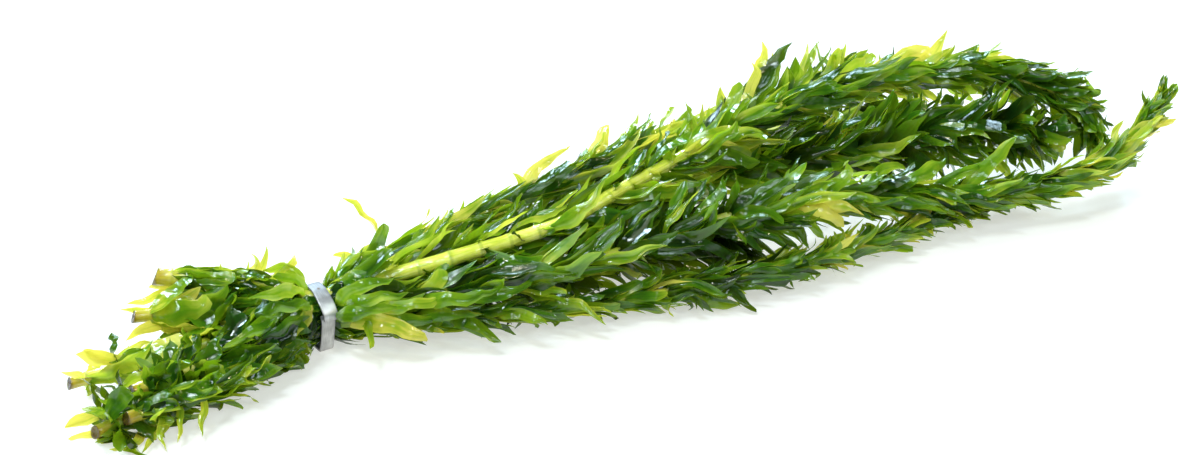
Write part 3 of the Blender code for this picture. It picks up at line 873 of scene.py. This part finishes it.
def whorl_leaves(name):
    """The leaves in one shoot's whorls, and their tints. Tips that curve back stand off further from the
    stem than the rest of their leaf, by the third power of the way to the tip."""
    habit, roots = HABITS[name], whorl_roots(name)
    x, share, count = roots.place[:, 0], roots.share, len(roots.share)
    length, wide, blunt, kept = leaf_sizes(name, roots)
    held = np.interp(x / MM, *HELD[name]) if name in HELD else np.ones(count)
    press = np.interp(x, PRESSED_AT, OPENING_KEPT) * held
    midrib, wild = leaf_midribs(name, roots, length, press)
    flat = np.broadcast_to(np.cross(roots.along, roots.out)[:, None], midrib.shape)
    leaves = lay_blades(
        midrib, flat, wide, twist=chance.normal(0, TWIST_VARIES, count) * (1 + share) * wild,
        gutter=chance.uniform(*GUTTERS, count), ripple=chance.uniform(*RIPPLES, count),
        phase=chance.uniform(0, 1, count), blunt=blunt,
    )
    u = np.linspace(0, 1, LEAF_ROWS)
    leaves = leaves + wander(leaves, BENDS_OVER) * (BEND_HEIGHT * u)[None, :, None, None]
    crumple = CRUMPLE_HEIGHT * np.where(x < 0, TAIL_CRUMPLE, 1)[:, None] * u**0.5
    leaves = leaves + wander(leaves, CRUMPLES_OVER) * crumple[:, :, None, None]
    room = habit.stand * MM * np.interp(x, PRESSED_AT, ROOM_KEPT) * held
    room = room * np.where(chance.uniform(0, 1, count) < FREE_SHARE, FREE_ROOM, 1)
    room = room[:, None] * (1 + habit.recurve / 60 * u**3)
    leaves = clinging(leaves, lines_of[name], room[:, :, None, None])
    tints = habit.tint + chance.normal(0, TINT_VARIES, count)
    tints += wander(roots.place, TINT_DRIFTS_OVER)[:, 0] * TINT_DRIFT
    tints += np.interp(x / MM, *TINTED.get(name, TINTED["others"]))
    leaves = above_table(squeezed(leaves), chance.uniform(0, STACK_HEIGHT, count)[:, None, None])
    return leaves[kept], tints[kept].clip(0, 1)


def leaf_part(leaves, tints):
    """All leaves of one shoot together. On the skin's map each leaf is one unit long and wide, three
    units beside the one before it."""
    count = len(leaves)
    size = LEAF_ROWS * LEAF_COLUMNS
    quads = grid_faces(LEAF_ROWS, LEAF_COLUMNS, False)
    across = np.linspace(0.02, 0.98, LEAF_COLUMNS)
    u, v = np.meshgrid(np.linspace(0, 1, LEAF_ROWS), across, indexing="ij")
    skin = np.tile(np.stack([v.ravel(), u.ravel()], axis=1), (count, 1))
    skin[:, 0] += np.repeat(np.arange(count) * 3.0, size)
    return {
        "points": leaves.reshape(-1, 3),
        "faces": [(quads + (np.arange(count) * size)[:, None, None]).reshape(-1, 4)],
        "skin": skin,
        "tint": np.repeat(tints, size),
    }


# A blade's colours from dark to light, and the light that dark and light leaves let through
BLADE_GREENS = [
    (0.0, (0.002, 0.014, 0.002)), (0.3, (0.011, 0.057, 0.003)), (0.55, (0.040, 0.135, 0.003)),
    (0.8, (0.15, 0.235, 0.010)), (1.0, (0.42, 0.40, 0.07)),
]
GREEN_LIGHT = (0.33, 0.50, 0.006, 1)
YELLOW_LIGHT = (0.50, 0.42, 0.045, 1)


def leaf_material():
    """Thin wet leaf: a glossy green film over tissue that lets yellow-green light through. Dark leaves let
    little and greener light through, light ones more and yellower light."""
    material, paint = new_material("leaf_blade")
    skin_place = paint.node("UVMap", {"uv_map": "skin"}, {}, "UV")
    place = paint.node("TexCoord", {}, {}, "Object")
    tint = paint.stored("tint")
    streaks = skin_place.stretched_noise(6, 1.6, 3)
    blotches = place.noise(160, 3)
    # From 0 at the middle of a leaf to 1 at its margins
    across = paint.math("FRACT", paint.node("SeparateXYZ", {}, {"Vector": skin_place}, "X"))
    aside = paint.math("ABSOLUTE", across * 2 - 1)
    # Painted bright rim: the margins are made paler, standing for light that shines through the thin edges
    painted_rim = paint.math("POWER", aside, 5)
    midrib = aside.between(0.02, 0.2, 1, 0)
    shade = tint + (streaks - 0.5) * 0.45 + (blotches - 0.5) * 0.9 + painted_rim * 0.16 - midrib * 0.1
    veins = skin_place.stretched_noise(9, 0.6, 2)
    film = place.noise(260, 1)
    ripples = place.noise(700, 1)
    wet = paint.node("BsdfPrincipled", {}, {
        "Base Color": shade.coloured(BLADE_GREENS), "Roughness": blotches.between(0.35, 0.65, 0.04, 0.13),
        "Specular IOR Level": 0.45, "Normal": (veins * 0.4 + film + ripples * 0.22).relief(1, 0.2 * MM),
    })
    green_light = paint.node("BsdfTranslucent", {}, {"Color": GREEN_LIGHT})
    yellow_light = paint.node("BsdfTranslucent", {}, {"Color": YELLOW_LIGHT})
    lit_leaf = paint.node("AddShader", {}, {0: wet, 1: green_light})
    dark_leaf = paint.node("MixShader", {}, {0: 0.15 + 0.9 * tint, 1: wet, 2: lit_leaf})
    light_leaf = paint.node("AddShader", {}, {0: wet, 1: yellow_light})
    shader = paint.node("MixShader", {}, {0: shade.between(0.35, 0.85), 1: dark_leaf, 2: light_leaf})
    paint.node("OutputMaterial", {}, {"Surface": shader}, None)
    return material


leaf_blade = leaf_material()
for name, line in lines_of.items():
    leaves, tints = whorl_leaves(name)
    if name in PLACED:
        placed, placed_tints = placed_leaves(name)
        leaves, tints = np.concatenate([leaves, placed]), np.concatenate([tints, placed_tints])
    stem = grow_stem(line, whorls_of[name], MAIN_SIZE if name == "main" else 1)
    mesh = build_mesh(name + "_shoot", [leaf_part(leaves, tints), stem])
    mesh.materials.append(leaf_blade)
    mesh.materials.append(stem_skin)
    shoot = bpy.data.objects.new(name + "_shoot", mesh)
    bpy.context.scene.collection.objects.link(shoot)
    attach(shoot, "root")
    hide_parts("shoot_" + name)

# The tie. A strip of soft grey metal, 3.4 mm wide and 0.6 mm thick, bent by hand once round the stems
# at x = 0. Its outer end laps over the inner one at the front. It carries fine lines and mottled patches,
# painted shade on its top, back and edges, and a painted highlight at its front bend.
STRIP_WIDTH = 3.4 * MM
STRIP_THICKNESS = 0.6 * MM
STRIP_COLUMNS = 32
# Its middle line in the YZ plane in mm, from the inner end at the front down, under, up behind and over
STRIP_LINE = [
    (-3.45, 10), (-3.8, 8.4), (-3.1, 5), (-2.2, 1.2), (-1.4, 0.3), (1.4, 0.3), (4.4, 1.6), (6.4, 4.4),
    (7, 7.8), (6.4, 11), (4.9, 13.4), (3, 14.4), (0.4, 14.3), (-2.2, 13), (-3.9, 11.6), (-4.7, 10.3),
    (-4.6, 8.9),
]
# Its section is a superellipse of this power
CORNER_POWER = 6
# How far the inner end has slid sideways, and over what length
END_SLIP = 0.25 * MM
SLIP_LENGTH = 7 * MM
# Handling left the strip a little wavy and its edges uneven
WAVE_LENGTH = 11 * MM
WAVE_HEIGHT = 0.1 * MM
EDGE_WAVE = 0.06 * MM
# The rings that round its ends: their size, and how far beyond the end they lie
END_RINGS = ((0.93, 0.1 * MM), (0.3, 0.14 * MM))


def bend_strip():
    """The strip as one closed grid: a rectangle with rounded corners, carried along the middle line. The
    rings at its ends shrink, so that the ends are rounded too."""
    line = smooth_line([(0, y, z) for y, z in STRIP_LINE])
    distance = np.arange(len(line)) * LINE_STEP
    line[:, 0] -= END_SLIP * np.exp(-((distance / SLIP_LENGTH) ** 2))
    along = unit(np.gradient(line, axis=0))
    out = unit(np.cross(along, [1, 0, 0]))
    turn = np.linspace(0, 2 * np.pi, STRIP_COLUMNS, endpoint=False)
    across = np.sign(np.cos(turn)) * np.abs(np.cos(turn)) ** (2 / CORNER_POWER)
    thick = np.sign(np.sin(turn)) * np.abs(np.sin(turn)) ** (2 / CORNER_POWER)
    wave = wander(line, WAVE_LENGTH)
    half = STRIP_WIDTH / 2 + EDGE_WAVE * wave[:, 1]
    centre = line + out * (WAVE_HEIGHT * wave[:, :1])
    centre[:, 2] = np.maximum(centre[:, 2], STRIP_THICKNESS / 2)
    rings = (
        centre[:, None]
        + np.array([1.0, 0, 0]) * (across * half[:, None])[..., None]
        + out[:, None] * (thick * STRIP_THICKNESS / 2)[None, :, None]
    )
    ends = [
        centre[i] + (rings[i] - centre[i]) * size - way * along[i] * beyond
        for i, way in ((0, 1), (-1, -1))
        for size, beyond in END_RINGS
    ]
    rows = len(line) + len(ends)
    run = np.concatenate([[0, 0], distance, [distance[-1]] * 2])
    skin = [np.tile(across * half.mean(), rows) / MM, np.repeat(run, STRIP_COLUMNS) / MM]
    return {
        "points": np.vstack([ends[1], ends[0], rings.reshape(-1, 3), ends[2], ends[3]]),
        "faces": tube_faces(rows, STRIP_COLUMNS),
        "skin": np.stack(skin, axis=1),
        "tint": np.tile(np.abs(across) ** 8, rows),
    }


METAL_GREYS = [(0.36, (0.28, 0.27, 0.27)), (0.5, (0.50, 0.49, 0.49)), (0.64, (0.76, 0.75, 0.76))]
# Where the strip bends over to its outer end a highlight is painted on it, and it is less metallic there.
# Painted shade darkens its top, back and edges, the top and back are also rougher, and it has one brown
# spot. The distances are those along the strip in mm
PAINTED_HIGHLIGHT_WHITE = (0.93, 0.93, 0.96, 1)
HIGHLIGHT_BEND = 39.2
HIGHLIGHT_FADES = (0.3, 2.4)
PAINTED_SHADE_GREY = (0.16, 0.15, 0.15, 1)
SHADE_FROM = 18
SHADE_FADES = (33, 37)
SHADE_DEPTH = 0.55
EDGE_SHADE_GREY = (0.13, 0.12, 0.12, 1)
SPOT_BROWN = (0.16, 0.09, 0.04, 1)
SPOT_PLACE = (0, 34, 0)
SPOT_FADES = (0.15, 0.5)


def strip_material():
    """Soft grey metal: brushed lengthwise and mottled with dull and bright patches. Painted shade darkens
    its edges, top and back, and a highlight is painted where it bends over at the front.
    """
    material, paint = new_material("soft_grey_metal")
    place = paint.node("TexCoord", {}, {}, "Object")
    skin_place = paint.node("UVMap", {"uv_map": "skin"}, {}, "UV")
    lines = skin_place.stretched_noise(9, 0.35, 4)
    patches = place.noise(420, 4)
    broad = place.noise(120, 2)
    run = paint.node("SeparateXYZ", {}, {"Vector": skin_place}, "Y")
    metal = (lines * 0.35 + patches * 0.35 + broad * 0.3).coloured(METAL_GREYS)
    # Painted highlight: a bright band where the strip bends over to its outer end, which is also less
    # metallic there
    painted_highlight = paint.math("ABSOLUTE", run - HIGHLIGHT_BEND).between(*HIGHLIGHT_FADES, 1, 0)
    metal = paint.mix(painted_highlight * 0.75, metal, PAINTED_HIGHLIGHT_WHITE)
    # Painted shade: the back and top of the strip are darkened, and made rougher, fading out before the
    # front bend
    painted_shade_mask = run.between(*SHADE_FADES, SHADE_DEPTH, 0) * paint.math("GREATER_THAN", run, SHADE_FROM)
    metal = paint.mix(painted_shade_mask, metal, PAINTED_SHADE_GREY)
    # Painted shade: the strip's narrow edges are darkened
    metal = paint.mix(paint.stored("tint") * 0.45, metal, EDGE_SHADE_GREY)
    from_spot = paint.node("VectorMath", {"operation": "DISTANCE"}, {0: skin_place, 1: SPOT_PLACE}, "Value")
    metal = paint.mix(from_spot.between(*SPOT_FADES, 1, 0) * 0.8, metal, SPOT_BROWN)
    dull = (patches * 0.5 + broad * 0.5).between(0.35, 0.65, 0.36, 0.58)
    shader = paint.node("BsdfPrincipled", {}, {
        "Base Color": metal, "Metallic": 0.85 - painted_highlight * 0.5, "Roughness": dull + painted_shade_mask * 0.3,
        "Normal": (lines * 0.5 + patches).relief(0.6, 0.1 * MM),
    })
    paint.node("OutputMaterial", {}, {"Surface": shader}, None)
    return material


mesh = build_mesh("tie", [bend_strip()])
mesh.materials.append(strip_material())
tie = bpy.data.objects.new("tie", mesh)
bpy.context.scene.collection.objects.link(tie)
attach(tie, "root")
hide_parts("tie_strip")

# The table is a plain white board that glows a little, as the light from all round makes it do. The light
# is that of a studio: a soft ceiling, tall window panes behind and to the left, smaller windows at the
# front and two small warm lamps, whose reflections are the streaks and sparks on the wet leaves.
BOARD_HALF = 6
BOARD_TOP = -0.2 * MM
BOARD_WHITE = (0.5, 0.5, 0.5, 1)
BOARD_GLOW = (0.98, 1, 0.94, 1)
board = bpy.data.meshes.new("board")
corners = [(-1, -1), (1, -1), (1, 1), (-1, 1)]
board.from_pydata([(x * BOARD_HALF, y * BOARD_HALF, BOARD_TOP) for x, y in corners], [], [(0, 1, 2, 3)])
table = bpy.data.objects.new("board", board)
bpy.context.scene.collection.objects.link(table)
white, paint = new_material("white_board")
shader = paint.node("BsdfPrincipled", {}, {
    "Base Color": BOARD_WHITE, "Roughness": 0.7, "Emission Color": BOARD_GLOW, "Emission Strength": 0.55,
})
paint.node("OutputMaterial", {}, {"Surface": shader}, None)
board.materials.append(white)

ROOM_WHITE = (0.93, 0.97, 1, 1)
ROOM_STRENGTH = 0.06
world = bpy.data.worlds.new("white_room")
world.use_nodes = True
background = world.node_tree.nodes["Background"]
background.inputs["Color"].default_value = ROOM_WHITE
background.inputs["Strength"].default_value = ROOM_STRENGTH
bpy.context.scene.world = world


def hang_light(name, place, aim, size, power, colour):
    """A rectangular light at a place, turned towards its aim."""
    lamp = bpy.data.lights.new(name, "AREA")
    lamp.shape = "RECTANGLE"
    lamp.size, lamp.size_y = size
    lamp.energy = power
    lamp.color = colour
    holder = bpy.data.objects.new(name, lamp)
    holder.location = place
    holder.rotation_euler = (Vector(aim) - Vector(place)).to_track_quat("-Z", "Y").to_euler()
    bpy.context.scene.collection.objects.link(holder)


BLUE_DAYLIGHT = (0.58, 0.80, 1)
WARM_LIGHT = (1, 0.82, 0.54)
# Each light: the way to it as azimuth from +Y towards +X and elevation in degrees, its distance and its
# size in metres, how bright its face is, and its colour
LIGHTS = {
    "ceiling": (-40, 68, 2.6, (2.4, 1.5), 2.3, (0.90, 0.96, 0.84)),
    "pane_back_left": (-6, 36, 2.5, (0.26, 0.9), 42, BLUE_DAYLIGHT),
    "pane_back": (12, 36, 2.5, (0.26, 0.9), 42, BLUE_DAYLIGHT),
    "pane_back_right": (30, 36, 2.5, (0.26, 0.9), 42, BLUE_DAYLIGHT),
    "window_left": (-58, 40, 2.5, (0.32, 0.7), 42, BLUE_DAYLIGHT),
    "window_camera": (-160, 44, 2.5, (0.36, 0.6), 14, (0.74, 0.90, 1)),
    "window_near_left": (-112, 34, 2.5, (0.18, 0.5), 44, (0.86, 0.94, 1)),
    "skylight": (-100, 70, 2.3, (0.6, 0.3), 42, (0.80, 0.92, 1)),
    "window_front": (145, 38, 2.4, (0.34, 0.4), 21, (0.78, 0.90, 1)),
    "lamp_front": (170, 38, 2.2, (0.09, 0.09), 170, WARM_LIGHT),
    "lamp_left": (-95, 55, 2.2, (0.09, 0.09), 170, WARM_LIGHT),
}
# All lights are turned to this place. A light's power is its face's brightness times pi times its area
LIT_MIDDLE = Vector((80 * MM, 0, 0))
for name, (azimuth, elevation, distance, size, brightness, colour) in LIGHTS.items():
    azimuth, elevation = math.radians(azimuth), math.radians(elevation)
    way = Vector((
        math.sin(azimuth) * math.cos(elevation),
        math.cos(azimuth) * math.cos(elevation),
        math.sin(elevation),
    ))
    power = brightness * math.pi * size[0] * size[1]
    hang_light(name, LIT_MIDDLE + way * distance, LIT_MIDDLE, size, power, colour)
